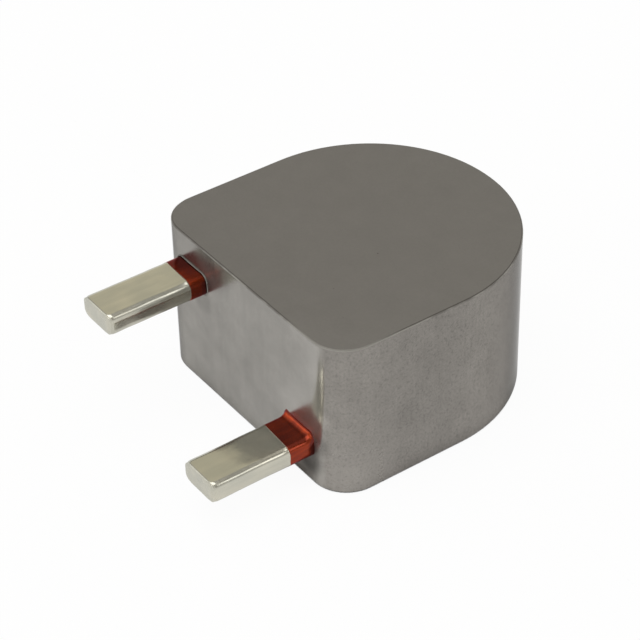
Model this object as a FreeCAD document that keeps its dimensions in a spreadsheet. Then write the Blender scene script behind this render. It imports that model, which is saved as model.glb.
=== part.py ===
import FreeCAD, Part
import math
import os

import Sketcher

# Moulded power inductor: an edge-wound coil of enamelled flat wire, pressed into a D-shaped body of iron
# powder, with both ends of the wire brought straight out of the flat front as tinned tails.
# Millimetres, +Z up. The origin is on the coil's axis, in the plane of the base. The flat front faces -Y.

DRIVING_SIZES = {
    # flat wire, bare copper first
    "wire_width": 4.50,
    "wire_thickness": 2.00,
    "wire_corner_radius": 0.65,
    "enamel_film": 0.08,
    # winding
    "coil_bore": 11.75,
    "whole_turns": 3,
    "turn_gap": 0.125,
    # pressed powder round the winding
    "base_wall": 3.05,
    "top_wall": 2.90,
    "side_wall": 3.465,
    "front_wall": 3.41,
    "front_corner_radius": 3.60,
    "rim_break": 0.15,
    # tails, measured out from the flat front
    "lower_tail_reach": 10.67,
    "upper_tail_reach": 10.27,
    "lower_enamel_reach": 2.40,
    "upper_enamel_reach": 1.60,
    "tin_coat": 0.08,
    "cut_end_radius": 0.45,
}

# Sizes that follow from the driving ones, as formulas of the sheet
COATED_WIDTH = "(sizes.wire_width + 2 * sizes.enamel_film)"
COATED_THICKNESS = "(sizes.wire_thickness + 2 * sizes.enamel_film)"
COATED_CORNER = "(sizes.wire_corner_radius + sizes.enamel_film)"
TURN_PITCH = f"({COATED_THICKNESS} + sizes.turn_gap)"
HALF_TURN_RISE = f"({TURN_PITCH} / 2)"
COIL_RADIUS = f"(sizes.coil_bore / 2 + {COATED_WIDTH} / 2)"
COIL_OUTER_RADIUS = f"(sizes.coil_bore / 2 + {COATED_WIDTH})"
COIL_RISE = f"({TURN_PITCH} * (round(sizes.whole_turns) + 0.5))"
LOWER_TAIL_HEIGHT = f"(sizes.base_wall + {COATED_THICKNESS} / 2)"
UPPER_TAIL_HEIGHT = f"({LOWER_TAIL_HEIGHT} + {COIL_RISE})"
BODY_HEIGHT = f"({UPPER_TAIL_HEIGHT} + {COATED_THICKNESS} / 2 + sizes.top_wall)"
BACK_RADIUS = f"({COIL_OUTER_RADIUS} + sizes.side_wall)"
FRONT_DISTANCE = f"({COIL_OUTER_RADIUS} + sizes.front_wall)"
TINNED_WIDTH = "(sizes.wire_width + 2 * sizes.tin_coat)"
TINNED_THICKNESS = "(sizes.wire_thickness + 2 * sizes.tin_coat)"
TINNED_CORNER = "(sizes.wire_corner_radius + sizes.tin_coat)"

# The turns start as strips that pass the coil's outside, and are trimmed round inside a larger circle
STRIP_REACH = f"(1.2 * {COIL_OUTER_RADIUS})"
TRIM_RADIUS = f"(2 * {COIL_OUTER_RADIUS})"

# Two faces or edges closer than this lie in one plane
ON_PLANE = 1e-4

doc = FreeCAD.newDocument("inductor")


def make_sheet():
    sheet = doc.addObject("Spreadsheet::Sheet", "sizes")
    for row, (name, size) in enumerate(DRIVING_SIZES.items(), start=1):
        sheet.set(f"A{row}", name.replace("_", " "))
        sheet.set(f"B{row}", str(size))
        sheet.setAlias(f"B{row}", name)
    doc.recompute()
    return sheet


sheet = make_sheet()


def number(formula):
    return float(sheet.evalExpression(formula))


def new_body(name):
    body = doc.addObject("PartDesign::Body", name)
    body.Label = name
    return body


def origin_feature(body, role):
    return next(part for part in body.Origin.OriginFeatures if part.Role == role)


def new_sketch(body, name, plane_role, offset=None):
    """A sketch on one of the body's own origin planes, moved by formulas for its x, y and z."""
    sketch = body.newObject("Sketcher::SketchObject", name)
    sketch.AttachmentSupport = [(origin_feature(body, plane_role), "")]
    sketch.MapMode = "FlatFace"
    for axis, formula in (offset or {}).items():
        sketch.setExpression(f"AttachmentOffset.Base.{axis}", formula)
    return sketch


def constrain(sketch, kind, *where, name=None, formula=None):
    """Adds a constraint, and ties it to a formula of the sheet where one is given."""
    if formula is None:
        sketch.addConstraint(Sketcher.Constraint(kind, *where))
        return
    index = sketch.addConstraint(Sketcher.Constraint(kind, *where, number(formula)))
    sketch.renameConstraint(index, name)
    sketch.setExpression(f"Constraints.{name}", formula)


def arc(centre_x, centre_y, radius, start_degrees, end_degrees):
    circle = Part.Circle(FreeCAD.Vector(centre_x, centre_y, 0), FreeCAD.Vector(0, 0, 1), radius)
    return Part.ArcOfCircle(circle, math.radians(start_degrees), math.radians(end_degrees))


def line(start, end):
    return Part.LineSegment(FreeCAD.Vector(*start, 0), FreeCAD.Vector(*end, 0))


# The numbers by which a constraint names a point of a line or arc, and the sketch's origin
START, END, CENTRE = 1, 2, 3
SKETCH_ORIGIN = (-1, 1)


def draw_rounded_section(sketch, width, thickness, corner):
    """The wire's section: a rectangle about the sketch's origin, with rounded corners."""
    half_width, half_thickness, radius = number(width) / 2, number(thickness) / 2, number(corner)
    inner_x, inner_y = half_width - radius, half_thickness - radius
    outline = [
        line((-inner_x, -half_thickness), (inner_x, -half_thickness)),
        arc(inner_x, -inner_y, radius, -90, 0),
        line((half_width, -inner_y), (half_width, inner_y)),
        arc(inner_x, inner_y, radius, 0, 90),
        line((inner_x, half_thickness), (-inner_x, half_thickness)),
        arc(-inner_x, inner_y, radius, 90, 180),
        line((-half_width, inner_y), (-half_width, -inner_y)),
        arc(-inner_x, -inner_y, radius, 180, 270),
    ]
    sketch.addGeometry(outline)
    for side in range(8):
        constrain(sketch, "Tangent", side, END, (side + 1) % 8, START)
    for side, kind in ((0, "Horizontal"), (2, "Vertical"), (4, "Horizontal"), (6, "Vertical")):
        constrain(sketch, kind, side)
    for round_corner in (3, 5, 7):
        constrain(sketch, "Equal", 1, round_corner)
    constrain(sketch, "Radius", 1, name="corner", formula=corner)
    constrain(sketch, "DistanceX", 6, START, 2, START, name="width", formula=width)
    constrain(sketch, "DistanceY", 0, START, 4, START, name="thickness", formula=thickness)
    constrain(sketch, "Symmetric", 0, START, 4, START, *SKETCH_ORIGIN)


def draw_folded_strip(sketch, way, base_height):
    """Half a turn seen from the front: level, a fold beside the bore, the climb, a fold back, level.

    way is 1 where the strip climbs towards -X and -1 where it climbs towards +X.
    """
    reach, fold = number(STRIP_REACH), number("sizes.coil_bore / 2")
    low, rise, thickness = number(base_height), number(HALF_TURN_RISE), number(COATED_THICKNESS)
    underside = [(reach, low), (fold, low), (-fold, low + rise), (-reach, low + rise)]
    top = [(x, y + thickness) for x, y in reversed(underside)]
    corners = [(way * x, y) for x, y in underside + top]
    for place, corner in enumerate(corners):
        sketch.addGeometry(line(corner, corners[(place + 1) % 8]))
    start_level, climb, end_level, end_face, end_top, climb_top, start_top, start_face = range(8)
    for side in range(8):
        constrain(sketch, "Coincident", side, END, (side + 1) % 8, START)
    for side in (start_level, end_level, end_top, start_top):
        constrain(sketch, "Horizontal", side)
    for side in (start_face, end_face):
        constrain(sketch, "Vertical", side)
    constrain(sketch, "Vertical", climb_top, END, climb, START)
    constrain(sketch, "Vertical", climb_top, START, climb, END)
    across = (
        ("start_reach", start_level, START, 1, STRIP_REACH),
        ("first_fold", climb, START, 1, "sizes.coil_bore / 2"),
        ("second_fold", climb, END, -1, "sizes.coil_bore / 2"),
        ("end_reach", end_face, START, -1, STRIP_REACH),
    )
    for name, side, point, sign, formula in across:
        ends = (*SKETCH_ORIGIN, side, point) if sign * way > 0 else (side, point, *SKETCH_ORIGIN)
        constrain(sketch, "DistanceX", *ends, name=name, formula=formula)
    upward = (
        ("base_height", *SKETCH_ORIGIN, start_level, START, base_height),
        ("rise", climb, START, climb, END, HALF_TURN_RISE),
        ("start_thickness", start_level, START, start_top, END, COATED_THICKNESS),
        ("end_thickness", end_face, START, end_face, END, COATED_THICKNESS),
    )
    for name, *ends, formula in upward:
        constrain(sketch, "DistanceY", *ends, name=name, formula=formula)


def draw_circles(sketch, radii):
    """Circles about the sketch's origin, one for each named radius."""
    for place, (name, formula) in enumerate(radii.items()):
        centre, normal = FreeCAD.Vector(0, 0, 0), FreeCAD.Vector(0, 0, 1)
        sketch.addGeometry(Part.Circle(centre, normal, number(formula)))
        constrain(sketch, "Coincident", place, CENTRE, *SKETCH_ORIGIN)
        constrain(sketch, "Radius", place, name=name, formula=formula)


def draw_body_plan(sketch):
    """The D of the pressing: a half circle at the back, flat sides, a flat front and two rounded corners."""
    radius, front = number(BACK_RADIUS), number(FRONT_DISTANCE)
    corner = number("sizes.front_corner_radius")
    outline = [
        arc(0, 0, radius, 0, 180),
        line((-radius, 0), (-radius, corner - front)),
        arc(corner - radius, corner - front, corner, 180, 270),
        line((corner - radius, -front), (radius - corner, -front)),
        arc(radius - corner, corner - front, corner, 270, 360),
        line((radius, corner - front), (radius, 0)),
    ]
    sketch.addGeometry(outline)
    constrain(sketch, "Coincident", 0, CENTRE, *SKETCH_ORIGIN)
    for side in range(6):
        constrain(sketch, "Tangent", side, END, (side + 1) % 6, START)
    for side, kind in ((1, "Vertical"), (3, "Horizontal"), (5, "Vertical")):
        constrain(sketch, kind, side)
    constrain(sketch, "Equal", 2, 4)
    constrain(sketch, "Radius", 0, name="back_radius", formula=BACK_RADIUS)
    constrain(sketch, "Radius", 2, name="corner_radius", formula="sizes.front_corner_radius")
    constrain(sketch, "DistanceY", 3, START, *SKETCH_ORIGIN, name="front_distance", formula=FRONT_DISTANCE)


def pad(body, sketch, name, length, reversed_way=False):
    feature = body.newObject("PartDesign::Pad", name)
    feature.Profile = sketch
    feature.Reversed = reversed_way
    feature.setExpression("Length", length)
    doc.recompute()
    return feature


def edges_where(shape, chosen):
    """Names of the shape's edges for which chosen, a test of an edge, is true."""
    return [f"Edge{index}" for index, edge in enumerate(shape.Edges, start=1) if chosen(edge)]


def rim_edges(shape, height):
    """The edges that lie flat at one height: the rim of the body's top or base."""

    def at_height(edge):
        box = edge.BoundBox
        return abs(box.ZMin - height) + abs(box.ZMax - height) < ON_PLANE

    return edges_where(shape, at_height)


def tip_edges(shape, side, tip):
    """The edges round the flat tip of the tail on one side of the coil, at y = tip."""

    def at_tip(edge):
        box = edge.BoundBox
        return abs(box.YMin - tip) + abs(box.YMax - tip) < ON_PLANE and side * edge.CenterOfMass.x > 0

    return edges_where(shape, at_tip)


def dress_edges(body, kind, name, base, edges, size_name, formula):
    feature = body.newObject(f"PartDesign::{kind}", name)
    feature.Base = (base, edges)
    feature.setExpression(size_name, formula)
    doc.recompute()
    return feature


def tail_section(body, name, side, height, start, sizes):
    """A sketch of the wire's section across one tail, where the tail's next length starts."""
    offset = {"x": f"{side} * {COIL_RADIUS}", "y": height, "z": start}
    sketch = new_sketch(body, name, "XZ_Plane", offset)
    draw_rounded_section(sketch, *sizes)
    return sketch


COATED_SECTION = (COATED_WIDTH, COATED_THICKNESS, COATED_CORNER)
BARE_SECTION = ("sizes.wire_width", "sizes.wire_thickness", "sizes.wire_corner_radius")
TINNED_SECTION = (TINNED_WIDTH, TINNED_THICKNESS, TINNED_CORNER)

# Each tail: the side of the coil it leaves, its height, and how far it and its enamel stand out of the front
TAILS = {
    "lower": (1, LOWER_TAIL_HEIGHT, "sizes.lower_tail_reach", "sizes.lower_enamel_reach"),
    "upper": (-1, UPPER_TAIL_HEIGHT, "sizes.upper_tail_reach", "sizes.upper_enamel_reach"),
}


def add_half_turns(body, name, way, base_height, count):
    """The back or the front halves of the turns, one above the other, as strips still square in plan."""
    sketch = new_sketch(body, f"{name}_strip", "XZ_Plane")
    draw_folded_strip(sketch, way, base_height)
    strip = pad(body, sketch, f"{name}_half_turn", STRIP_REACH, reversed_way=way > 0)
    pattern = body.newObject("PartDesign::LinearPattern", f"{name}_half_turns")
    pattern.Originals = [strip]
    pattern.Direction = (origin_feature(body, "Z_Axis"), [""])
    pattern.Mode = "Spacing"
    pattern.setExpression("Occurrences", count)
    pattern.setExpression("Offset", TURN_PITCH)
    body.Tip = pattern
    doc.recompute()


def make_coil():
    """The turns, then each tail: enamelled out of the turns, and stripped where the tin goes.

    The wire is level at the sides of the coil, where the tails run on from it, and climbs half a pitch
    behind the bore and half a pitch in front of it. Its edges stay square until it becomes a tail.
    """
    body = new_body("coil")
    body.AllowCompound = True
    whole_turns = "round(sizes.whole_turns)"
    add_half_turns(body, "back", 1, "sizes.base_wall", f"{whole_turns} + 1")
    add_half_turns(body, "front", -1, f"sizes.base_wall + {HALF_TURN_RISE}", whole_turns)
    plan = new_sketch(body, "turns_plan", "XY_Plane")
    draw_circles(plan, {"bore": "sizes.coil_bore / 2", "outside": COIL_OUTER_RADIUS, "trim": TRIM_RADIUS})
    turns = body.newObject("PartDesign::Pocket", "turns")
    turns.Profile = plan
    turns.Type = "ThroughAll"
    turns.Reversed = True
    doc.recompute()
    for name, (side, height, reach, enamel) in TAILS.items():
        leaving = tail_section(body, f"{name}_tail_section", side, height, "0", COATED_SECTION)
        pad(body, leaving, f"{name}_tail", f"{FRONT_DISTANCE} + {enamel}")
        stripped_from = f"{FRONT_DISTANCE} + {enamel}"
        stripped = tail_section(body, f"{name}_end_section", side, height, stripped_from, BARE_SECTION)
        end = pad(body, stripped, f"{name}_end", f"{reach} - {enamel} - sizes.tin_coat")
        edges = tip_edges(end.Shape, side, -number(f"{FRONT_DISTANCE} + {reach} - sizes.tin_coat"))
        dress_edges(body, "Fillet", f"{name}_cut_end", end, edges, "Radius", "sizes.cut_end_radius")
    return body


def make_block():
    """The pressing before the winding's space is taken out of it."""
    body = new_body("pressed_block")
    plan = new_sketch(body, "body_plan", "XY_Plane")
    draw_body_plan(plan)
    block = pad(body, plan, "block", BODY_HEIGHT)
    rims = rim_edges(block.Shape, 0) + rim_edges(block.Shape, number(BODY_HEIGHT))
    dress_edges(body, "Chamfer", "rims", block, rims, "Size", "sizes.rim_break")
    return body


def make_tin_dip(name, side, height, reach, enamel):
    """The tinned end of a tail, from the enamel to the rounded tip, before the copper is taken out."""
    body = new_body(f"{name}_tin_dip")
    start = f"{FRONT_DISTANCE} + {enamel}"
    outside = tail_section(body, f"{name}_tin_section", side, height, start, TINNED_SECTION)
    dip = pad(body, outside, f"{name}_tin_length", f"{reach} - {enamel}")
    edges = tip_edges(dip.Shape, side, -number(f"{FRONT_DISTANCE} + {reach}"))
    radius = "sizes.cut_end_radius + sizes.tin_coat"
    dress_edges(body, "Fillet", f"{name}_tin_tip", dip, edges, "Radius", radius)
    return body


def formed_round(name, outside, inside):
    """A piece formed round another: the pressing round its coil, the tin round its copper."""
    piece = doc.addObject("Part::Cut", name)
    piece.Base = outside
    piece.Tool = inside
    piece.Label = name
    return piece


coil = make_coil()
sub_parts = [coil, formed_round("core_body", make_block(), coil)]
for tail_name, tail in TAILS.items():
    sub_parts.append(formed_round(f"{tail_name}_tail_tin", make_tin_dip(tail_name, *tail), coil))
doc.recompute()

failed = [item.Name for item in doc.Objects if {"Invalid", "Error"} & set(item.State)]
unsound = [piece.Label for piece in sub_parts if piece.Shape.isNull() or not piece.Shape.isValid()]
if failed or unsound:
    raise RuntimeError(f"failed objects {failed}, unsound shapes {unsound}")

os.makedirs("parts", exist_ok=True)
for piece in sub_parts:
    piece.Shape.exportStep(f"parts/{piece.Label}.step")
    box = piece.Shape.BoundBox
    print(
        f"{piece.Label}: {len(piece.Shape.Solids)} solid, {piece.Shape.Volume:.1f} mm3, "
        f"{box.XLength:.2f} x {box.YLength:.2f} x {box.ZLength:.2f} mm"
    )
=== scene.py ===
# %% [markdown]
# # A moulded power inductor, dressed for the camera
#
# The real part is a coil of flat enamelled copper wire, pressed into a D-shaped block of iron powder.
# Both ends of the wire come straight out of the flat front, and their tips are dipped in tin.
#
# The solids come from the CAD model as a fixed frame. Every piece made here is added round them, in
# metres, in the same place.

import math
from collections import namedtuple
from types import SimpleNamespace

import bmesh
import bpy
from mathutils import Matrix, Vector, noise


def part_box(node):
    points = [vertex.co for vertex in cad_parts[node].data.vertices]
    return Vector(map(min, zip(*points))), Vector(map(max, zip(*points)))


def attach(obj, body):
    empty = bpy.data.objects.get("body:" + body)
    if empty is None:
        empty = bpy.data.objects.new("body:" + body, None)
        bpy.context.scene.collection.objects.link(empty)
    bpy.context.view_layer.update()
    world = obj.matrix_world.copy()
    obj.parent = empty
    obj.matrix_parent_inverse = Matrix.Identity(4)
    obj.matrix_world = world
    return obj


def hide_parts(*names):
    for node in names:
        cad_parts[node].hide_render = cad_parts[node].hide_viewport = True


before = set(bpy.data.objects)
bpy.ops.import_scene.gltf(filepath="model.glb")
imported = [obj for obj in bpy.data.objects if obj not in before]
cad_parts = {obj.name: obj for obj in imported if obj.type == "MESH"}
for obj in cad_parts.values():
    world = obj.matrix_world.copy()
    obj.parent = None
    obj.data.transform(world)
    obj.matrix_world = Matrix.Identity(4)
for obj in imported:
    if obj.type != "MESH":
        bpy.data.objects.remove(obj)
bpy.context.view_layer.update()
MM = 0.001
print("solids from the frame:", sorted(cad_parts))

# %% [markdown]
# ## Measures that the pieces share
#
# A piece fits the solids if its numbers come from them. The height of the block and the plane of its
# front are read from the frame's own boxes, and the tail's middle is the middle of its tin.
# Only the wire's section has to be written down: a standard flat wire, without its film and with it.

# %% Read the front, the top and the tails
block_low, block_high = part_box("core_body")
FRONT = block_low.y
TOP = block_high.z

Tail = namedtuple("Tail", "x z reach")


def measure_tail(tin):
    """Where a tail's middle line runs, and how far its tip stands out of the front."""
    low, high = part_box(tin)
    return Tail((low.x + high.x) / 2, (low.z + high.z) / 2, FRONT - low.y)


LOWER = measure_tail("lower_tail_tin")
UPPER = measure_tail("upper_tail_tin")

Section = namedtuple("Section", "width thickness corner")
BARE_WIRE = Section(4.50 * MM, 2.00 * MM, 0.65 * MM)
COATED_WIRE = Section(4.66 * MM, 2.16 * MM, 0.73 * MM)
print("lower tail", round(LOWER.reach / MM, 2), "mm out, upper tail", round(UPPER.reach / MM, 2), "mm out")

# %% [markdown]
# ## The camera
#
# A product photograph is taken from far away with a long lens, so its edges stay nearly parallel.
# Three things place such a camera: the angle round the part, the angle down on it and the distance.
# The aim point is a spot inside the part, and a small roll stands for a camera that is not quite level.

# %% Place the camera
AROUND, DOWN, ROLL = math.radians(54.938), math.radians(37.511), math.radians(-1.3646)
DISTANCE, LENS = 218.29 * MM, 129.21
AIM_RIGHT, AIM_UP = -4.7054 * MM, 4.33 * MM

back = Vector((math.sin(AROUND) * math.cos(DOWN), -math.cos(AROUND) * math.cos(DOWN), math.sin(DOWN)))
level_right = Vector((math.cos(AROUND), math.sin(AROUND), 0))
level_up = back.cross(level_right)
right = math.cos(ROLL) * level_right + math.sin(ROLL) * level_up
up = -math.sin(ROLL) * level_right + math.cos(ROLL) * level_up
eye = AIM_RIGHT * right + AIM_UP * up + DISTANCE * back

camera_data = bpy.data.cameras.new("camera")
camera_data.lens = LENS
camera_data.sensor_width = 36
camera_data.clip_start = 0.01
camera = bpy.data.objects.new("camera", camera_data)
bpy.context.scene.collection.objects.link(camera)
camera.matrix_world = Matrix.Translation(eye) @ Matrix((right, up, back)).transposed().to_4x4()
bpy.context.scene.camera = camera
print("camera", round(eye.length / MM, 1), "mm from the middle of the base")

# %% [markdown]
# ## Node helpers
#
# Materials are built from small nodes, and each link in code is a long line. These helpers keep the
# cells short. The first sets or links one socket, and the second makes a node with its inputs.


# %% Helpers: one socket, one node
def feed(tree, socket, source):
    """Links a socket to another node's output, or sets it to a plain value."""
    if isinstance(source, bpy.types.NodeSocket):
        tree.links.new(source, socket)
    else:
        socket.default_value = source


def node(tree, kind, inputs=None, **settings):
    made = tree.nodes.new(kind)
    for name, value in settings.items():
        setattr(made, name, value)
    for name, source in (inputs or {}).items():
        feed(tree, made.inputs[name], source)
    return made


print("helpers for single nodes ready")

# %% [markdown]
# Most of a finish is sums with masks: a base value, plus a mask times how much it counts. The next
# helpers say that in a word each, and the ramp turns any value that passes between two limits into a
# smooth mask.


# %% Helpers: sums and ramps
def work_out(tree, operation, first, second=0.0, third=0.0, clamp=False):
    made = node(tree, "ShaderNodeMath", operation=operation, use_clamp=clamp)
    for socket, source in zip(made.inputs, (first, second, third)):
        feed(tree, socket, source)
    return made.outputs[0]


def times(tree, first, second):
    return work_out(tree, "MULTIPLY", first, second)


def less(tree, first, second, clamp=False):
    return work_out(tree, "SUBTRACT", first, second, clamp=clamp)


def plus(tree, base, mask, factor=1.0):
    """A base value plus a mask times a factor."""
    return work_out(tree, "MULTIPLY_ADD", mask, factor, base)


def vary(tree, tone, pattern, amount):
    """Adds to a tone a pattern that wanders round 0.5, times an amount."""
    return plus(tree, tone, less(tree, pattern, 0.5), amount)


def ramp_between(tree, source, start, end, low=0.0, high=1.0):
    """Turns a value that passes from start to end into one that passes smoothly from low to high."""
    made = node(tree, "ShaderNodeMapRange", interpolation_type="SMOOTHSTEP")
    labels = ("Value", "From Min", "From Max", "To Min", "To Max")
    for label, value in zip(labels, (source, start, end, low, high)):
        feed(tree, made.inputs[label], value)
    return made.outputs["Result"]


def around_spot(tree, place, middle, inner, outer, amount):
    """An amount inside a ball round a spot, that fades to nothing at its outer radius."""
    away = node(tree, "ShaderNodeVectorMath", {0: place, 1: middle}, operation="DISTANCE")
    return ramp_between(tree, away.outputs["Value"], inner, outer, amount, 0.0)


print("helpers for sums and ramps ready")


# %% Helpers: colours and groups
def blend_colours(tree, share, first, second):
    made = node(tree, "ShaderNodeMix", {0: share, 6: first, 7: second}, data_type="RGBA")
    return made.outputs[2]


def shade_colour(tree, colour, value):
    """Multiplies a colour by a value round 1."""
    return node(tree, "ShaderNodeVectorMath", {0: colour, "Scale": value}, operation="SCALE").outputs[0]


def split(tree, vector):
    """The three parts of a place or a direction, as outputs named X, Y and Z."""
    return node(tree, "ShaderNodeSeparateXYZ", {"Vector": vector}).outputs


def new_group(name, inputs, outputs):
    """A shader node group with value inputs and their usual settings, and value outputs."""
    tree = bpy.data.node_groups.new(name, "ShaderNodeTree")
    for label, usual in inputs.items():
        socket = tree.interface.new_socket(label, in_out="INPUT", socket_type="NodeSocketFloat")
        socket.default_value = usual
    for label in outputs:
        tree.interface.new_socket(label, in_out="OUTPUT", socket_type="NodeSocketFloat")
    entry, leave = tree.nodes.new("NodeGroupInput"), tree.nodes.new("NodeGroupOutput")
    return tree, entry.outputs, leave.inputs


def use_group(tree, group, **inputs):
    made = node(tree, "ShaderNodeGroup", node_tree=group)
    for label, value in inputs.items():
        feed(tree, made.inputs[label.replace("_", " ")], value)
    return made.outputs


print("helpers for colours and groups ready")

# %% [markdown]
# ## Grain
#
# Pressed powder, enamel and tin all show a fine grain, and patches that are slightly lighter or darker.
# Noise gives both, at two sizes. It is a node group, built once and placed in each material with its own
# size. A group gives only values that change over the surface, and the shader itself stays in the
# material, so that the finish survives an export.

# %% Group: fine grain
PER_METRE = 1 / MM
PATCH_TO_GRAIN = 0.11


def make_grain_group():
    """Spots of two sizes round 0.5: the grains, and a slow drift between patches of them."""
    tree, entry, leave = new_group("fine_grain", {"Spots per mm": 4.0}, ("Grain", "Drift"))
    place = node(tree, "ShaderNodeTexCoord").outputs["Object"]
    fine = times(tree, entry["Spots per mm"], PER_METRE)
    slow = times(tree, fine, PATCH_TO_GRAIN)
    grain = {"Vector": place, "Scale": fine, "Detail": 3.0, "Roughness": 0.65}
    drift = {"Vector": place, "Scale": slow, "Detail": 2.0}
    feed(tree, leave["Grain"], node(tree, "ShaderNodeTexNoise", grain).outputs["Fac"])
    feed(tree, leave["Drift"], node(tree, "ShaderNodeTexNoise", drift).outputs["Fac"])
    return tree


fine_grain = make_grain_group()
print("group", fine_grain.name, "with", len(fine_grain.nodes), "nodes")

# %% [markdown]
# ## Drawn marks
#
# The die draws upright marks on the block's walls, and the wire and its tin have marks along the tail.
# A brush-stroke image could give them. Noise that is squeezed across the marks and stretched along them
# does the same, needs no image, and runs round the corners without a seam.

# %% Group: marks drawn along one axis
BAND_TO_STREAK = 0.17
ALONG_Z = (1.0, 1.0, 0.035)
ALONG_Y = (1.0, 0.08, 1.0)


def make_drawn_marks_group(name, stretch):
    """Streaks that run along the axis with the small stretch, as a die or a dip leaves them."""
    tree, entry, leave = new_group(name, {"Streaks per mm": 4.0}, ("Streaks", "Bands"))
    place = node(tree, "ShaderNodeTexCoord").outputs["Object"]
    fine = times(tree, entry["Streaks per mm"], PER_METRE)
    for label, factor in (("Streaks", 1.0), ("Bands", BAND_TO_STREAK)):
        squeezed = node(tree, "ShaderNodeVectorMath", {0: place, 1: stretch}, operation="MULTIPLY")
        lines = {"Vector": squeezed.outputs[0], "Scale": times(tree, fine, factor)}
        lines.update({"Detail": 2.0, "Roughness": 0.7})
        feed(tree, leave[label], node(tree, "ShaderNodeTexNoise", lines).outputs["Fac"])
    return tree


upright_marks = make_drawn_marks_group("upright_marks", ALONG_Z)
lengthwise_marks = make_drawn_marks_group("lengthwise_marks", ALONG_Y)
print("groups", upright_marks.name, "and", lengthwise_marks.name)

# %% [markdown]
# ## Walls, flats and broken edges
#
# The block looks different on its walls, its flat front, its top and the small broken edges between
# them. The mesh could be cut into parts with a material each. The direction of the surface tells them
# apart just as well, and it leaves the solid whole.


# %% Group: which way a surface faces
def make_facing_group():
    """Masks from the surface's own direction: walls, the flat front, and the broken edges round a flat."""
    tree, entry, leave = new_group("facing", {}, ("Wall", "Front", "Edge"))
    normal = split(tree, node(tree, "ShaderNodeNewGeometry").outputs["Normal"])
    steep = work_out(tree, "ABSOLUTE", normal["Z"])
    wall = ramp_between(tree, steep, 0.25, 0.6, 1.0, 0.0)
    flat = ramp_between(tree, steep, 0.8, 0.95)
    front = ramp_between(tree, normal["Y"], -0.90, -0.998)
    feed(tree, leave["Wall"], wall)
    feed(tree, leave["Front"], times(tree, front, wall))
    feed(tree, leave["Edge"], less(tree, less(tree, 1.0, wall), flat, clamp=True))
    return tree


facing = make_facing_group()
print("group", facing.name)

# %% [markdown]
# ## Reading a surface
#
# A finish asks the same things of each point: where it is, which way it faces, and what the grain and
# the marks are there. One helper places these nodes, with the sizes that the finish wants. Another
# starts a material with a plain shader in it.


# %% Helpers: start a material, read its surface
def start_material(name):
    material = bpy.data.materials.new(name)
    material.use_nodes = True
    tree = material.node_tree
    tree.nodes.clear()
    shader = tree.nodes.new("ShaderNodeBsdfPrincipled")
    output = tree.nodes.new("ShaderNodeOutputMaterial")
    tree.links.new(shader.outputs["BSDF"], output.inputs["Surface"])
    return material, tree, shader


def read_surface(tree, spots_per_mm, drawn_marks, streaks_per_mm):
    place = node(tree, "ShaderNodeTexCoord").outputs["Object"]
    position = split(tree, place)
    return SimpleNamespace(
        place=place,
        x=position["X"],
        y=position["Y"],
        z=position["Z"],
        face=use_group(tree, facing),
        grain=use_group(tree, fine_grain, Spots_per_mm=spots_per_mm),
        marks=use_group(tree, drawn_marks, Streaks_per_mm=streaks_per_mm),
    )


def add_relief(tree, shader, height, strength, depth):
    """Makes the shader's surface rise and fall with a height between 0 and 1."""
    bump = node(tree, "ShaderNodeBump", {"Strength": strength, "Distance": depth, "Height": height})
    feed(tree, shader.inputs["Normal"], bump.outputs["Normal"])


print("material helpers ready")

# %% [markdown]
# ## Pressed iron powder
#
# The powder is pressed in a steel die. The punches leave the top and the base matt and dark. The walls
# slide along the die as the block is pushed out, which burnishes them: they are paler, they mirror what
# stands near them, and they carry faint upright streaks.
#
# One material can do it all, because the surface's direction and place say which of these it is. It is
# made of four parts, a cell each: the colours with their rim, the tone, the pits, and the polish.
#
# The broken edge of the rim comes first. It is rubbed bright in places, and a painted highlight makes it
# brightest by the near corner. Just under the top it is painted dark as shade, except by the near corner.

# %% Powder: colours of the faces and the rim
MATT_TOP = (0.174, 0.164, 0.149, 1)
BURNISHED_WALL = (0.240, 0.226, 0.209, 1)
# Painted light: the flat front is painted paler than the curved walls.
PAINTED_LIGHT_FRONT = (0.362, 0.350, 0.328, 1)
# Rubbed wear at random, and a painted highlight on the rim by the near corner.
RUBBED_AND_LIT_EDGE = (0.28, 0.27, 0.245, 1)
# Painted shade: a dark line along the rim just under the top.
SHADED_RIM_EDGE = (0.090, 0.082, 0.072, 1)
# Painted shade: the near black inside a pit.
PIT_SHADE = (0.035, 0.03, 0.026, 1)
SHADED_RIM_FROM, SHADED_RIM_TO = TOP - 0.09 * MM, TOP - 0.04 * MM


def powder_colour(tree, at, near_corner):
    colour = blend_colours(tree, at.face["Wall"], MATT_TOP, BURNISHED_WALL)
    # painted light: the flat front paler than the curved walls
    colour = blend_colours(tree, at.face["Front"], colour, PAINTED_LIGHT_FRONT)
    # painted shade under the top of the rim, less by the near corner
    shaded_rim = ramp_between(tree, at.z, SHADED_RIM_FROM, SHADED_RIM_TO)
    shaded_rim = times(tree, shaded_rim, plus(tree, 1.0, near_corner, -0.8))
    # random wear, plus a painted highlight by the near corner
    worn_and_lit = ramp_between(tree, plus(tree, at.grain["Drift"], near_corner, 0.25), 0.38, 0.58)
    edge_colour = blend_colours(tree, worn_and_lit, MATT_TOP, RUBBED_AND_LIT_EDGE)
    edge_colour = blend_colours(tree, shaded_rim, edge_colour, SHADED_RIM_EDGE)
    return blend_colours(tree, at.face["Edge"], colour, edge_colour)


print("the rim has painted shade from", round((TOP - SHADED_RIM_FROM) / MM, 2), "mm under the top")
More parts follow.
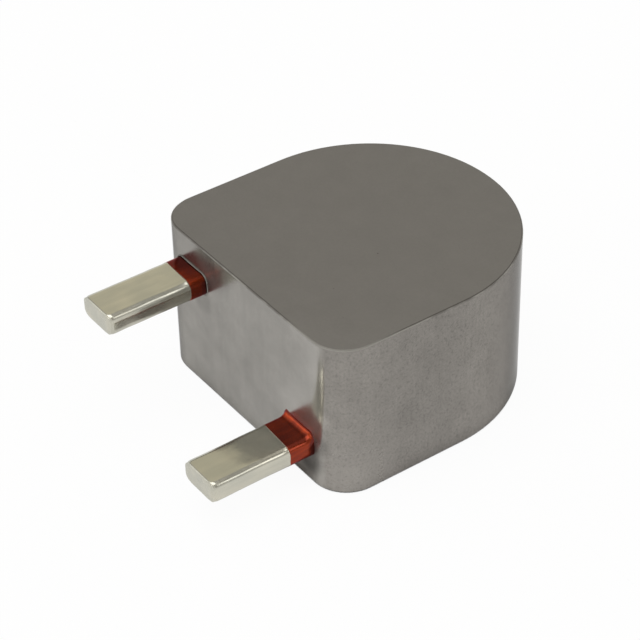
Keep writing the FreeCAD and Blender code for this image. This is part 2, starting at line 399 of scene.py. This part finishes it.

# %% [markdown]
# The tone multiplies the colour. Grain, patches, pores and streaks vary it everywhere, more on the walls.
# Then the walls are made lighter low down and at the corner beside the lower tail, and round the back
# as painted light. Last come single spots on the front near the exits, each measured from its tail:
# painted shade under and beside the exits, a painted highlight at the foot of the corner's pale line, and
# one patch rubbed lighter. The largest spot, painted shade over the mirror image between the upper exit
# and the rim, is broken up by the streaks and takes some of the polish with it.

# %% Powder: tone
Spot = namedtuple("Spot", "tail right up inner outer lighter")
SPOTS = {
    # painted shade under the upper tail
    "painted shade under the upper exit": Spot(UPPER, 1.4, -1.9, 0.8, 1.9, -0.17),
    "rubbed patch over the lower exit": Spot(LOWER, -1.5, 3.4, 0.8, 4.5, 0.10),
    # painted shade under the lower tail
    "painted shade under the lower exit": Spot(LOWER, 1.5, -1.5, 0.9, 2.4, -0.85),
    # painted shade beside the lower tail's film
    "painted shade beside the lower film": Spot(LOWER, 2.85, 0.65, 0.5, 1.6, -0.44),
    # painted highlight at the foot of the corner's pale line
    "painted highlight at the end of the corner's pale line": Spot(LOWER, 3.4, 3.7, 0.2, 1.4, 0.40),
}
# Painted shade that darkens the mirror image between the upper exit and the rim; it also takes some metal
# away.
SHADE_UNDER_RIM = Spot(UPPER, 3.6, 3.2, 0.8, 3.8, -0.62)


def spot_mask(tree, at, spot, amount):
    middle = Vector((spot.tail.x + spot.right * MM, FRONT, spot.tail.z + spot.up * MM))
    return around_spot(tree, at.place, middle, spot.inner * MM, spot.outer * MM, amount)


def lighter_walls(tree, at, near_corner):
    """How much lighter the walls are made low down, by the near corner and, as painted light, round the back.
    """
    low = ramp_between(tree, at.z, 9.0 * MM, 1.0 * MM)
    by_corner = times(tree, near_corner, plus(tree, 0.16, at.face["Front"], 0.14))
    lighter_low = times(tree, low, plus(tree, 0.08, by_corner))
    # Painted light: the walls are made lighter round the back.
    round_end = ramp_between(tree, at.y, -5 * MM, 7 * MM, 0.0, 0.22)
    return plus(tree, round_end, plus(tree, lighter_low, near_corner, 0.14))


def powder_tone(tree, at, near_corner, shade_under_rim):
    wall = at.face["Wall"]
    side = less(tree, wall, at.face["Front"])
    pores = times(tree, ramp_between(tree, at.grain["Grain"], 0.45, 0.34), side)
    tone = vary(tree, 1.0, at.grain["Grain"], plus(tree, 0.22, side, 0.30))
    tone = vary(tree, tone, at.grain["Drift"], plus(tree, 0.12, wall, 0.20))
    tone = plus(tree, tone, pores, -0.12)
    streak_strength = plus(tree, times(tree, wall, 0.09), side, 0.08)
    for name in ("Streaks", "Bands"):
        tone = vary(tree, tone, at.marks[name], streak_strength)
    tone = plus(tree, tone, wall, lighter_walls(tree, at, near_corner))
    # The spots paint shade and a highlight on the front.
    for spot in SPOTS.values():
        tone = plus(tree, tone, spot_mask(tree, at, spot, spot.lighter))
    return plus(tree, tone, shade_under_rim, SHADE_UNDER_RIM.lighter)


print("spots on the front:", ", ".join(SPOTS))

# %% [markdown]
# Tiny pits are left where a grain came away. A cell pattern divides the surface, and a rare cell gets
# one pit round its middle. Each pit is dented into the surface and painted near black inside as shade.

# %% Powder: pits
PIT_CELLS_PER_METRE = 520.0
RARE_FROM, RARE_TO = 0.88, 0.98
PIT_INSIDE, PIT_OUTSIDE = 0.015, 0.055


def powder_pits(tree, at):
    pattern = {"Vector": at.place, "Scale": PIT_CELLS_PER_METRE, "Randomness": 1.0}
    cells = node(tree, "ShaderNodeTexVoronoi", pattern).outputs
    chosen = node(tree, "ShaderNodeSeparateColor", {"Color": cells["Color"]}).outputs[0]
    rare = ramp_between(tree, chosen, RARE_FROM, RARE_TO)
    near = ramp_between(tree, cells["Distance"], PIT_INSIDE, PIT_OUTSIDE, 0.8, 0.0)
    return times(tree, rare, near)


print("a cell for a pit is", round(1 / PIT_CELLS_PER_METRE / MM, 1), "mm wide")

# %% [markdown]
# The walls are smooth and nearly a mirror, the top is not. A haze lies under the lower exit by the near
# corner, and the powder is less metallic there and in the place under the rim where shade is painted.

# %% Powder: the whole material
TOP_ROUGHNESS, WALL_ROUGHNESS = 0.60, 0.13
TOP_METAL, WALL_METAL = 0.35, 0.93


def make_powder():
    material, tree, shader = start_material("pressed_iron_powder")
    at = read_surface(tree, 4.2, upright_marks, 3.0)
    wall = at.face["Wall"]
    near_corner = ramp_between(tree, less(tree, at.x, at.y), 19 * MM, 25.5 * MM)
    shade_under_rim = times(tree, spot_mask(tree, at, SHADE_UNDER_RIM, 1.0), wall)
    in_streaks = ramp_between(tree, at.marks["Bands"], 0.38, 0.58, 0.55, 1.0)
    shade_under_rim = times(tree, shade_under_rim, in_streaks)

    colour = powder_colour(tree, at, near_corner)
    colour = shade_colour(tree, colour, powder_tone(tree, at, near_corner, shade_under_rim))
    pits = powder_pits(tree, at)
    feed(tree, shader.inputs["Base Color"], blend_colours(tree, pits, colour, PIT_SHADE))

    rough = ramp_between(tree, wall, 0.0, 1.0, TOP_ROUGHNESS, WALL_ROUGHNESS)
    rough = plus(tree, rough, at.face["Front"], 0.09)
    haze = times(tree, near_corner, ramp_between(tree, at.z, 5.4 * MM, 3.8 * MM, 0.0, 0.20))
    rough = plus(tree, rough, wall, haze)
    feed(tree, shader.inputs["Roughness"], vary(tree, rough, at.grain["Grain"], 0.10))
    metal = ramp_between(tree, wall, 0.0, 1.0, TOP_METAL, WALL_METAL)
    metal = plus(tree, metal, near_corner, -0.10)
    feed(tree, shader.inputs["Metallic"], plus(tree, metal, shade_under_rim, -0.35))
    shader.inputs["Specular Tint"].default_value = (0.5, 0.5, 0.5, 1)

    relief = less(tree, plus(tree, at.grain["Grain"], at.marks["Streaks"], 0.4), pits)
    add_relief(tree, shader, relief, 0.5, 0.002 * MM)
    return material


pressed_powder = make_powder()
print("material", pressed_powder.name, "with", len(pressed_powder.node_tree.nodes), "nodes")

# %% [markdown]
# ## Wire enamel
#
# The enamel is a clear red-brown film over bright copper. Light goes through the film, meets the
# metal and comes back deep red, so the film darkens where it is thick. The surface of the film itself
# mirrors sharply. A metallic base with a clear coat gives both at once, and it costs far less than a
# glass shell round a metal core. The film pulls away from the wire's round edges, which turns them
# orange, and that orange also paints a highlight along them. Its sides are painted dark as shade where
# they meet the block. It is also a little thicker on the upper tail.

# %% Material: wire enamel
THIN_FILM_AND_EDGE_LIGHT = (0.52, 0.060, 0.006, 1)
THICK_FILM_AND_SHADE = (0.13, 0.013, 0.007, 1)
SHADE_AT_BLOCK_FROM, SHADE_AT_BLOCK_TO = FRONT - 0.7 * MM, FRONT - 0.1 * MM


def make_enamel():
    material, tree, shader = start_material("red_wire_enamel")
    at = read_surface(tree, 1.6, lengthwise_marks, 2.2)
    thin_and_edge_lit = plus(tree, -0.15, at.grain["Drift"], 1.15)
    thin_and_edge_lit = plus(tree, thin_and_edge_lit, at.marks["Streaks"], 0.35)
    # The film thins on round edges, and this orange also paints a highlight along them.
    thin_and_edge_lit = plus(tree, thin_and_edge_lit, at.face["Edge"], 0.10)
    thick_and_shaded = ramp_between(tree, at.z, (LOWER.z + UPPER.z) / 2, UPPER.z, 0.0, 0.13)
    # Painted shade on the sides where they meet the block.
    shade_at_block = ramp_between(tree, at.y, SHADE_AT_BLOCK_FROM, SHADE_AT_BLOCK_TO, 0.0, 0.45)
    thick_and_shaded = plus(tree, thick_and_shaded, shade_at_block, at.face["Wall"])
    clearness = ramp_between(tree, less(tree, thin_and_edge_lit, thick_and_shaded), 0.30, 0.98)
    feed(tree, shader.inputs["Base Color"], blend_colours(tree, clearness, THICK_FILM_AND_SHADE, THIN_FILM_AND_EDGE_LIGHT))
    feed(tree, shader.inputs["Roughness"], plus(tree, 0.19, at.grain["Grain"], 0.10))
    shader.inputs["Metallic"].default_value = 1.0
    shader.inputs["Specular Tint"].default_value = (0.8, 0.25, 0.1, 1)
    shader.inputs["Coat Weight"].default_value = 0.52
    shader.inputs["Coat Roughness"].default_value = 0.08
    shader.inputs["Coat IOR"].default_value = 1.4
    relief = plus(tree, at.grain["Drift"], at.marks["Streaks"], 0.5)
    add_relief(tree, shader, relief, 0.25, 0.006 * MM)
    return material


wire_enamel = make_enamel()
print("material", wire_enamel.name)

# %% [markdown]
# ## Dipped tin
#
# Solder tin runs off the tail as it is pulled out of the bath, and freezes with a satin skin. It
# is slightly warm in colour, with cloudy patches and faint lines along the tail. Its brightness comes
# from what it mirrors, so it is fully metallic, and only its roughness and tint change over the surface.
# The tip was sheared off, so it is rougher than the rest, and the sides are a little rougher than the
# flats.

# %% Material: dipped tin
BRIGHT_TIN = (0.600, 0.578, 0.488, 1)
DULL_TIN = (0.512, 0.506, 0.440, 1)


def make_tin():
    material, tree, shader = start_material("dipped_tin")
    grain = use_group(tree, fine_grain, Spots_per_mm=2.4)
    marks = use_group(tree, lengthwise_marks, Streaks_per_mm=2.6)
    cloud = plus(tree, times(tree, grain["Drift"], 0.5), marks["Bands"], 0.5)
    cloud = ramp_between(tree, cloud, 0.40, 0.62)
    colour = blend_colours(tree, cloud, DULL_TIN, BRIGHT_TIN)
    colour = shade_colour(tree, colour, vary(tree, 1.0, marks["Streaks"], 0.14))
    feed(tree, shader.inputs["Base Color"], colour)
    normal = split(tree, node(tree, "ShaderNodeNewGeometry").outputs["Normal"])
    sheared = ramp_between(tree, normal["Y"], -0.12, -0.5, 0.09, 0.22)
    on_sides = ramp_between(tree, work_out(tree, "ABSOLUTE", normal["X"]), 0.35, 0.85, 0.0, 0.05)
    rough = plus(tree, plus(tree, sheared, on_sides), grain["Grain"], 0.14)
    feed(tree, shader.inputs["Roughness"], rough)
    shader.inputs["Metallic"].default_value = 1.0
    add_relief(tree, shader, plus(tree, grain["Grain"], marks["Streaks"], 0.7), 0.35, 0.006 * MM)
    return material


dipped_tin = make_tin()
print("material", dipped_tin.name)

# %% [markdown]
# ## The two solids that stay
#
# The block and the coil already have their real form, so they are not built again. Their slots get the
# new finishes. The two tins are different: a dipped skin has a bead and a rounded tip, which come next.

# %% Give the solids their finish
for solid, finish in (("core_body", pressed_powder), ("coil", wire_enamel)):
    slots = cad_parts[solid].data.materials
    for index in range(len(slots)):
        slots[index] = finish
    print(solid, "has", len(slots), "slot with", finish.name)

# %% [markdown]
# ## Rings and lofts
#
# The tin, the enamel and the lip at the upper exit all follow the wire's section: a rectangle with
# round corners. A ring of points round that section, pushed out or in, can be repeated along the
# tail and joined into a skin. That is a loft. It gives full control over swellings, slanted ends and
# rounded tips, which a bevelled curve would not.

# %% Helper: a ring round the wire
CORNER_STEPS = 8
SIDE_STEPS = 8
LEAST_RADIUS, LEAST_HALF_SIDE = 0.02 * MM, 0.01 * MM


def wire_ring(section, out=0.0):
    """Points (x, z) round the section, moved out by a distance, always the same number of points."""
    radius = max(section.corner + out, LEAST_RADIUS)
    shrink = min(section.corner + out - radius, 0.0)
    half_x = max(section.width / 2 - section.corner + shrink, LEAST_HALF_SIDE)
    half_z = max(section.thickness / 2 - section.corner + shrink, LEAST_HALF_SIDE)
    arcs = []
    for quarter, (sign_x, sign_z) in enumerate(((1, -1), (1, 1), (-1, 1), (-1, -1))):
        for step in range(CORNER_STEPS + 1):
            turn = math.radians(-90 + 90 * quarter + 90 * step / CORNER_STEPS)
            x = sign_x * half_x + radius * math.cos(turn)
            z = sign_z * half_z + radius * math.sin(turn)
            arcs.append((x, z))
    points = []
    for index, point in enumerate(arcs):
        points.append(point)
        if index % (CORNER_STEPS + 1) == CORNER_STEPS:
            after = arcs[(index + 1) % len(arcs)]
            for step in range(1, SIDE_STEPS):
                share = step / SIDE_STEPS
                points.append(tuple(a + (b - a) * share for a, b in zip(point, after)))
    return points


print("a ring has", len(wire_ring(BARE_WIRE)), "points")


# %% Helper: a loft through rings
def loft(name, rings, material, closed_ends=False, joined=False):
    """Skins a list of rings. The ends are closed with a face, or the last ring is joined to the first."""
    shape = bmesh.new()
    rows = [[shape.verts.new(point) for point in ring] for ring in rings]
    pairs = list(zip(rows, rows[1:]))
    if joined:
        pairs.append((rows[-1], rows[0]))
    for first, second in pairs:
        for index in range(len(first)):
            after = (index + 1) % len(first)
            shape.faces.new((first[index], first[after], second[after], second[index]))
    if closed_ends:
        shape.faces.new(rows[0][::-1])
        shape.faces.new(rows[-1])
    bmesh.ops.recalc_face_normals(shape, faces=shape.faces)
    if shape.calc_volume(signed=True) < 0:
        bmesh.ops.reverse_faces(shape, faces=shape.faces)
    volume = shape.calc_volume(signed=True) / MM**3
    mesh = bpy.data.meshes.new(name)
    shape.to_mesh(mesh)
    shape.free()
    for polygon in mesh.polygons:
        polygon.use_smooth = len(polygon.vertices) == 4
    piece = bpy.data.objects.new(name, mesh)
    bpy.context.scene.collection.objects.link(piece)
    mesh.materials.append(material)
    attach(piece, "root")
    print(name, "made of", len(mesh.polygons), "faces round", round(volume, 2), "mm3")
    return piece


print("loft helper ready")

# %% [markdown]
# ## The tin on the tails
#
# The tin is a thin cap over the bare end of each tail. Its edge towards the block is a small bead, and
# slants, because the part went into the bath a little askew. The sheared tip is rounded over.
# The cap has an outside and an inside, like the solid that it stands for.
#
# A slow unevenness keeps its flats from looking machined. It comes from a fixed noise, so it is the same
# each time.

# %% Helpers for the cap: its edge, its unevenness, its rounded tip
TIN_COAT = 0.08 * MM
SIDE_ROUND, FLAT_ROUND = 0.55 * MM, 0.22 * MM
INSIDE_GAP, INSIDE_FROM = 0.003 * MM, 0.3 * MM
BEAD_OUT = (0.010, 0.085, 0.101, 0.105, 0.101, 0.091, 0.083)
BEAD_ALONG = (0.0, 0.005, 0.03, 0.07, 0.14, 0.26, 0.42)
BODY_FROM = 0.6 * MM
BODY_STEPS, TIP_STEPS = 26, 14

TinEdge = namedtuple("TinEdge", "distance across down")
LOWER_EDGE = TinEdge(2.40 * MM, 0.12 * MM, 0.06 * MM)
UPPER_EDGE = TinEdge(1.60 * MM, 0.08 * MM, 0.03 * MM)


def slant_at(edge, section, x, z):
    """How much further out the slanted edge of the tin lies at a point of the section."""
    return edge.across * x / (section.width / 2) + edge.down * z / (section.thickness / 2)


def ripple(x, y, z, size, depth):
    """A slow unevenness of a surface, the same each time."""
    return depth * noise.noise(Vector((x, y, z)) / size)


def rounded_off(radius, to_tip):
    """How far a rounded tip has drawn in at a distance from its end."""
    if to_tip >= radius:
        return 0.0
    return radius - math.sqrt(radius**2 - (radius - to_tip) ** 2)


print("the bead stands", round(max(BEAD_OUT) - TIN_COAT / MM, 3), "mm proud of the tin")


# %% Helper: one tin cap
def make_tin_cap(name, tail, edge, seed):
    length = tail.reach - edge.distance
    rings = []

    def add_ring(out, share):
        """A ring on the cap's outside, at a share of the way from its slanted edge to its tip."""
        ring = []
        to_tip = length * (1 - share)
        narrowed = BARE_WIRE.width - 2 * rounded_off(SIDE_ROUND, to_tip)
        thinned = BARE_WIRE.thickness - 2 * rounded_off(FLAT_ROUND, to_tip)
        for x, z in wire_ring(Section(narrowed, thinned, BARE_WIRE.corner), out):
            distance = edge.distance + slant_at(edge, BARE_WIRE, x, z) * (1 - share) + length * share
            wave = ripple(x + seed, distance, z, 1.6 * MM, 0.02)
            ring.append((tail.x + x * (1 + wave / 2), FRONT - distance, tail.z + z * (1 + wave)))
        rings.append(ring)

    for distance in (tail.reach - TIN_COAT, edge.distance + INSIDE_FROM):
        inside = wire_ring(BARE_WIRE, INSIDE_GAP)
        rings.append([(tail.x + x, FRONT - distance, tail.z + z) for x, z in inside])
    for out, along in zip(BEAD_OUT, BEAD_ALONG):
        add_ring(out * MM, along * MM / length)
    straight = length - SIDE_ROUND - BODY_FROM
    for step in range(BODY_STEPS + 1):
        add_ring(TIN_COAT, (BODY_FROM + straight * step / BODY_STEPS) / length)
    for step in range(1, TIP_STEPS + 1):
        turn = math.radians(90 * step / TIP_STEPS)
        add_ring(TIN_COAT, 1 - SIDE_ROUND * (1 - math.sin(turn)) / length)
    return loft(name, rings, dipped_tin, closed_ends=True)


print("tin cap helper ready")

# %% Dip both tails
lower_tin = make_tin_cap("lower_tin_cap", LOWER, LOWER_EDGE, 0.0)
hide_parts("lower_tail_tin")
upper_tin = make_tin_cap("upper_tin_cap", UPPER, UPPER_EDGE, 0.031)
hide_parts("upper_tail_tin")

# %% [markdown]
# ## Enamel round the exits
#
# Between the block and the tin, the film can be seen. At the lower tail it runs up the front in a
# hollow curve, as varnish does in a corner, and ends in a ridge with a peak at the inner corner. At the
# upper tail it stays level.
#
# Both films are sleeves: an outer skin with the real outline, and an inner one just off the wire. A
# sleeve runs a little way under the bead of the tin, as the film does.

# %% Helper: one enamel sleeve
FILM = 0.02 * MM
OFF_THE_WIRE = 0.004 * MM
UNDER_THE_BEAD = 0.10 * MM
FLARE_STEPS, SLEEVE_STEPS = 12, 14
PEAK_PLACE, PEAK_WIDTH, PEAK_HEIGHT = -0.78, 0.12, 0.30


def climb_share(across, upward):
    """How much of the flare's height a point gets: all on top, none below, and a peak at the inner corner."""
    above = max(0.0, min(1.0, upward))
    peak = PEAK_HEIGHT * math.exp(-(((across - PEAK_PLACE) / PEAK_WIDTH) ** 2))
    return above * above * (3 - 2 * above) * (1 + peak)


def make_sleeve(name, tail, edge, flare_height, flare_length):
    """A film from the front of the block to the tin, with a hollow flare at the block."""
    end = edge.distance + UNDER_THE_BEAD
    rings = []

    def add_ring(out, distance, flare=0.0):
        ring = []
        for x, z in wire_ring(COATED_WIRE, out):
            z += flare * climb_share(x / (COATED_WIRE.width / 2), z / (COATED_WIRE.thickness / 2))
            along = distance + slant_at(edge, COATED_WIRE, x, z) * distance / end
            wave = ripple(x + 0.05, along, z, 1.1 * MM, 0.02)
            ring.append((tail.x + x, FRONT - along, tail.z + z * (1 + wave * 0.5)))
        rings.append(ring)

    add_ring(OFF_THE_WIRE, 0.0)
    for step in range(FLARE_STEPS + 1):
        turn = math.radians(90 * step / FLARE_STEPS)
        add_ring(FILM, flare_length * (1 - math.cos(turn)), flare_height * (1 - math.sin(turn)))
    for step in range(1, SLEEVE_STEPS + 1):
        add_ring(FILM, flare_length + (end - flare_length) * step / SLEEVE_STEPS)
    add_ring(OFF_THE_WIRE, end)
    return loft(name, rings, wire_enamel, joined=True)


print("sleeve helper ready")

# %% Make both sleeves
make_sleeve("lower_enamel_sleeve", LOWER, LOWER_EDGE, flare_height=0.52 * MM, flare_length=0.75 * MM)
make_sleeve("upper_enamel_sleeve", UPPER, UPPER_EDGE, flare_height=0.04 * MM, flare_length=0.20 * MM)

# %% [markdown]
# ## The lip round the upper tail
#
# Powder creeps into the gap between the wire and the die, so a thin lip stands round the upper tail
# and leaves a dark slit beside the film. It could be painted on, but it catches the light on its edge
# and hides a line of the enamel, so it is a ring with its own section, uneven in height.

# %% Make the lip of powder
LIP_OUT = (0.10, 0.10, 0.11, 0.13, 0.15, 0.165, 0.175)
LIP_HEIGHT = (-0.02, 0.09, 0.11, 0.11, 0.08, 0.03, -0.02)


def make_lip(name, tail):
    """A thin raised ring round a tail, open towards the wire, with its outer side sloped to the front."""
    rings = []
    for out, distance in zip(LIP_OUT, LIP_HEIGHT):
        ring = []
        for x, z in wire_ring(COATED_WIRE, out * MM):
            uneven = ripple(x, 0.3, z, 0.8 * MM, 1.0)
            height = 0.7 + 0.3 * z / (COATED_WIRE.thickness / 2) + 0.25 * uneven
            ring.append((tail.x + x, FRONT - distance * MM * height, tail.z + z))
        rings.append(ring)
    return loft(name, rings, pressed_powder, joined=True)


make_lip("upper_exit_lip", UPPER)

# %% [markdown]
# ## A white table
#
# The part stands on a white table, and seen from above its walls mirror little else. The table must be
# white in the picture and still hold a shadow. So it is paper that glows a little, with more glow where
# the camera sees it directly. Each spot also knows how much open air is above it: close to the part the
# glow fades and the paper is painted darker as shade, which leaves the dark line where metal meets table
# and the shade under the tails.

# %% Material: white paper that keeps a shade
OPEN_AIR, CLOSE_AIR = 4.0 * MM, 0.6 * MM
BLACK, WHITE = (0, 0, 0, 1), (1, 1, 1, 1)


def open_above(tree, distance):
    """How free the air is above a point, from 0 under the part to 1 in the open."""
    return node(tree, "ShaderNodeAmbientOcclusion", {"Distance": distance}, samples=8).outputs["AO"]


def make_paper():
    material = bpy.data.materials.new("white_table")
    material.use_nodes = True
    tree = material.node_tree
    tree.nodes.clear()
    path = tree.nodes.new("ShaderNodeLightPath").outputs
    open_air, close_air = open_above(tree, OPEN_AIR), open_above(tree, CLOSE_AIR)
    seen_glow = ramp_between(tree, close_air, 0.22, 0.46, 0.0, 0.95)
    mirrored_glow = ramp_between(tree, open_air, 0.36, 0.70, 0.0, 0.58)
    # Painted shade: the paper is made darker where little open air is above it.
    shaded_paper_tone = ramp_between(tree, open_air, 0.25, 0.60, 0.20, 0.90)
    direct = work_out(tree, "MAXIMUM", path["Is Camera Ray"], path["Is Transmission Ray"])
    seen = times(tree, direct, seen_glow)
    mirrored = times(tree, path["Is Glossy Ray"], mirrored_glow)
    share = work_out(tree, "MAXIMUM", seen, mirrored)
    tint = blend_colours(tree, shaded_paper_tone, BLACK, WHITE)
    paper = node(tree, "ShaderNodeBsdfDiffuse", {"Color": tint}).outputs[0]
    glow = node(tree, "ShaderNodeEmission", {"Color": WHITE, "Strength": 1.0}).outputs[0]
    mixed = node(tree, "ShaderNodeMixShader", {0: share, 1: paper, 2: glow})
    output = tree.nodes.new("ShaderNodeOutputMaterial")
    tree.links.new(mixed.outputs[0], output.inputs["Surface"])
    return material


print("paper helper ready")

# %% Lay the table
TABLE_BELOW = 0.01 * MM


def lay_table():
    shape = bmesh.new()
    bmesh.ops.create_grid(shape, x_segments=2, y_segments=2, size=2.0)
    mesh = bpy.data.meshes.new("floor")
    shape.to_mesh(mesh)
    shape.free()
    mesh.materials.append(make_paper())
    floor = bpy.data.objects.new("floor", mesh)
    floor.location.z = -TABLE_BELOW
    bpy.context.scene.collection.objects.link(floor)
    return floor


print("table", lay_table().name)

# %% [markdown]
# ## Lamps
#
# The light of a metal part is what it mirrors. One wide lamp overhead gives most of the light and the
# soft shadow. The others are weak, and each is there for one reflection: two on the front left for the
# tails' tops near the block and for the ridge of the film, a small one and a strip in front for the pale
# line in the corner, one beside the camera and one behind on the right for the long edges of the tails,
# and a warm wall for the cream of the tin.

# %% Lamps
LIT_POINT = Vector((0, -5 * MM, 8 * MM))


def add_lamp(name, place, size, watts, colour=(1, 1, 1), height=None):
    """A flat lamp that faces the part: square, or a strip where it has its own height."""
    data = bpy.data.lights.new(name, "AREA")
    data.shape = "RECTANGLE"
    data.size = size
    data.size_y = height or size
    data.energy = watts
    data.color = colour
    lamp = bpy.data.objects.new(name, data)
    bpy.context.scene.collection.objects.link(lamp)
    lamp.location = place
    lamp.rotation_euler = (LIT_POINT - Vector(place)).to_track_quat("-Z", "Y").to_euler()
    print(name, watts, "W from", place)


add_lamp("overhead_lamp", (0.0, -0.12, 0.90), size=0.80, watts=3.4)
add_lamp("front_left_lamp", (-0.52, -0.40, 0.50), size=0.45, watts=0.31)
add_lamp("low_left_lamp", (-0.55, -0.54, 0.36), size=0.25, watts=0.16)
add_lamp("front_lamp", (-0.165, -0.716, 0.554), size=0.08, watts=0.17)
add_lamp("front_strip", (0.14, -0.74, 0.54), size=0.36, height=0.07, watts=0.45)
add_lamp("lamp_beside_camera", (0.49, -0.37, 0.53), size=0.16, watts=0.10)
add_lamp("back_right_lamp", (0.48, 0.38, 0.53), size=0.25, watts=0.32)
add_lamp("warm_wall", (-0.55, 0.39, 0.52), size=0.60, watts=0.30, colour=(1.0, 0.90, 0.55))

# %% [markdown]
# ## The room
#
# What no lamp covers, the room fills: it is nearly white near the horizon, as from pale walls, and
# plain grey above. The walls of the block mirror the first, and its top the second.

# %% Room
PALE_WALLS = (0.95, 0.95, 0.95, 1)
GREY_ABOVE = (0.43, 0.42, 0.395, 1)


def light_room():
    world = bpy.data.worlds.new("studio_room")
    world.use_nodes = True
    tree = world.node_tree
    tree.nodes.clear()
    upward = split(tree, node(tree, "ShaderNodeTexCoord").outputs["Generated"])["Z"]
    height = ramp_between(tree, upward, 0.10, 0.55)
    colour = blend_colours(tree, height, PALE_WALLS, GREY_ABOVE)
    light = node(tree, "ShaderNodeBackground", {"Color": colour, "Strength": 1.0})
    output = tree.nodes.new("ShaderNodeOutputWorld")
    tree.links.new(light.outputs[0], output.inputs["Surface"])
    return world


bpy.context.scene.world = light_room()
bpy.context.scene.view_settings.view_transform = "Standard"
print("room", bpy.context.scene.world.name)
